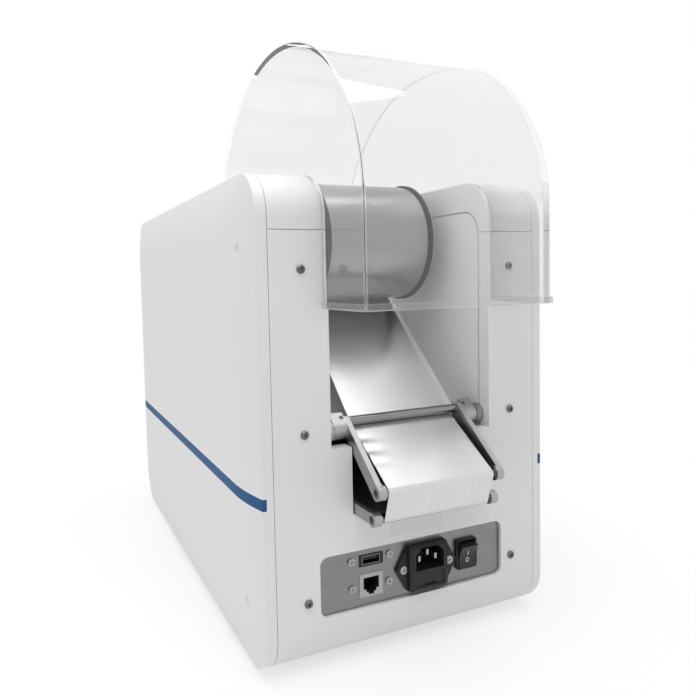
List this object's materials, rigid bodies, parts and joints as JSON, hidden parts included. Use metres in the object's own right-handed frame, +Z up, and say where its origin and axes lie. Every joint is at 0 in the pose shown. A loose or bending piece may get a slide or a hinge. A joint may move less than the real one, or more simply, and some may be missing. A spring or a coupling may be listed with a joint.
{
  "type": "thermal plate sealer",
  "caption": "Benchtop machine that seals sample plates with heat: boxy white housing, film roll under a clear arched cover, film guided over a dancer frame into a rear slot.",
  "frame": {"origin": "centre of the overall footprint, on the bench under the rubber feet", "axes": "+Z up; -Y is the front with the screen and plate tray; +Y is the rear with the film slot, dancer frame and connectors; +X is the machine's side seen at the picture's left"},
  "size_m": [0.2466, 0.5, 0.4492],
  "materials": {
    "white_paint": "satin",
    "white_side_cover": "satin",
    "blue_stripe": "satin",
    "white_plug": "satin",
    "clear_acrylic": "gloss",
    "silver_film": "satin",
    "roll_disc": "matte",
    "cardboard_core": "matte",
    "polished_steel": "polished",
    "dark_screw": "satin",
    "satin_aluminium": "satin",
    "brushed_stainless": "brushed",
    "zinc_steel": "satin",
    "black_plastic": "satin",
    "port_metal": "satin",
    "rubber": "matte",
    "screen": "gloss",
    "label_stock": "matte",
    "circuit_board": "satin"
  },
  "bodies": {
    "housing": {"base_plate": "white_paint", "rubber_feet": "rubber", "chassis_sides": "zinc_steel", "side_cover_left": "white_side_cover", "side_cover_right": "white_side_cover", "accent_stripes": "blue_stripe", "side_cover_plugs": "white_plug", "rear_panel": "white_paint", "top_cover": "white_paint", "front_panel": "white_paint", "display_bezel": "black_plastic", "touch_screen": "screen", "roll_bay_liner": "white_paint", "rear_panel_screws": "dark_screw", "connector_plate": "brushed_stainless", "connector_screws": "port_metal", "usb_port": "black_plastic", "network_port": "port_metal", "power_inlet": "black_plastic", "inlet_pins": "port_metal", "switch_housing": "black_plastic", "blank_label": "label_stock", "spindle_cradles": "satin_aluminium", "pivot_bushes": "satin_aluminium", "lower_brackets": "satin_aluminium", "lower_axle": "polished_steel", "lower_screws": "dark_screw", "film_upper_span": "silver_film", "film_lower_span": "silver_film", "film_feed_span": "silver_film", "film_guide_plate": "brushed_stainless", "feed_brackets": "zinc_steel", "feed_motor": "black_plastic", "cutter_rail": "polished_steel", "press_frame": "zinc_steel", "press_actuator": "black_plastic", "carriage_rails": "satin_aluminium", "power_supply": "zinc_steel", "control_board": "circuit_board"},
    "cover": {"roll_cover": "clear_acrylic"},
    "supply_roll": {"film_roll": "silver_film", "roll_core": "cardboard_core", "roll_flanges": "roll_disc", "spindle": "polished_steel"},
    "dancer": {"dancer_arms": "satin_aluminium", "guide_rod": "polished_steel", "pivot_pins": "polished_steel", "dancer_axle": "polished_steel", "dancer_screws": "dark_screw", "film_arm_span": "silver_film"},
    "dancer_idler": {"dancer_roller": "polished_steel"},
    "lower_idler": {"lower_roller": "polished_steel"},
    "feed_drive": {"feed_roller": "rubber"},
    "feed_pinch": {"pinch_roller": "rubber"},
    "cutter": {"cutter_carriage": "polished_steel"},
    "press": {"heater_platen": "satin_aluminium"},
    "tray": {"plate_carriage": "satin_aluminium", "carriage_front": "white_paint"},
    "fuse_holder": {"fuse_drawer": "black_plastic"},
    "power_switch": {"switch_rocker": "black_plastic"}
  },
  "joints": [
    {"name": "cover_lift", "type": "slide", "parent": "housing", "child": "cover", "axis": [0, 0, 1], "range_m": [0, 0.12]},
    {"name": "roll_spin", "type": "hinge", "parent": "housing", "child": "supply_roll", "pos_m": [0, 0.1015, 0.3034], "axis": [1, 0, 0], "continuous": true},
    {"name": "dancer_swing", "type": "hinge", "parent": "housing", "child": "dancer", "pos_m": [0, 0.17649, 0.16714], "axis": [1, 0, 0], "range_deg": [0, 30], "deforming": ["film_upper_span", "film_lower_span"]},
    {"name": "dancer_roller_spin", "type": "hinge", "parent": "dancer", "child": "dancer_idler", "pos_m": [0, 0.221, 0.1337], "axis": [1, 0, 0], "continuous": true},
    {"name": "lower_roller_spin", "type": "hinge", "parent": "housing", "child": "lower_idler", "pos_m": [0, 0.2147, 0.114], "axis": [1, 0, 0], "continuous": true},
    {"name": "feed_roller_spin", "type": "hinge", "parent": "housing", "child": "feed_drive", "pos_m": [0, -0.06, 0.10245], "axis": [1, 0, 0], "continuous": true},
    {"name": "pinch_roller_spin", "type": "hinge", "parent": "housing", "child": "feed_pinch", "pos_m": [0, -0.06, 0.11875], "axis": [1, 0, 0], "continuous": true},
    {"name": "cutter_travel", "type": "slide", "parent": "housing", "child": "cutter", "axis": [1, 0, 0], "range_m": [0, 0.08]},
    {"name": "press_stroke", "type": "slide", "parent": "housing", "child": "press", "axis": [0, 0, -1], "range_m": [0, 0.036]},
    {"name": "tray_travel", "type": "slide", "parent": "housing", "child": "tray", "axis": [0, -1, 0], "range_m": [0, 0.15]},
    {"name": "fuse_drawer_pull", "type": "slide", "parent": "housing", "child": "fuse_holder", "axis": [0, 1, 0], "range_m": [0, 0.02]},
    {"name": "switch_rock", "type": "hinge", "parent": "housing", "child": "power_switch", "pos_m": [-0.045, 0.185, 0.063], "axis": [1, 0, 0], "range_deg": [0, 24]}
  ],
  "couplings": [
    {"joint": "roll_spin", "follows": "feed_roller_spin", "ratio": 0.17396},
    {"joint": "pinch_roller_spin", "follows": "feed_roller_spin", "ratio": -1},
    {"joint": "dancer_roller_spin", "follows": "feed_roller_spin", "ratio": -2.3971},
    {"joint": "lower_roller_spin", "follows": "feed_roller_spin", "ratio": -2.3971}
  ]
}
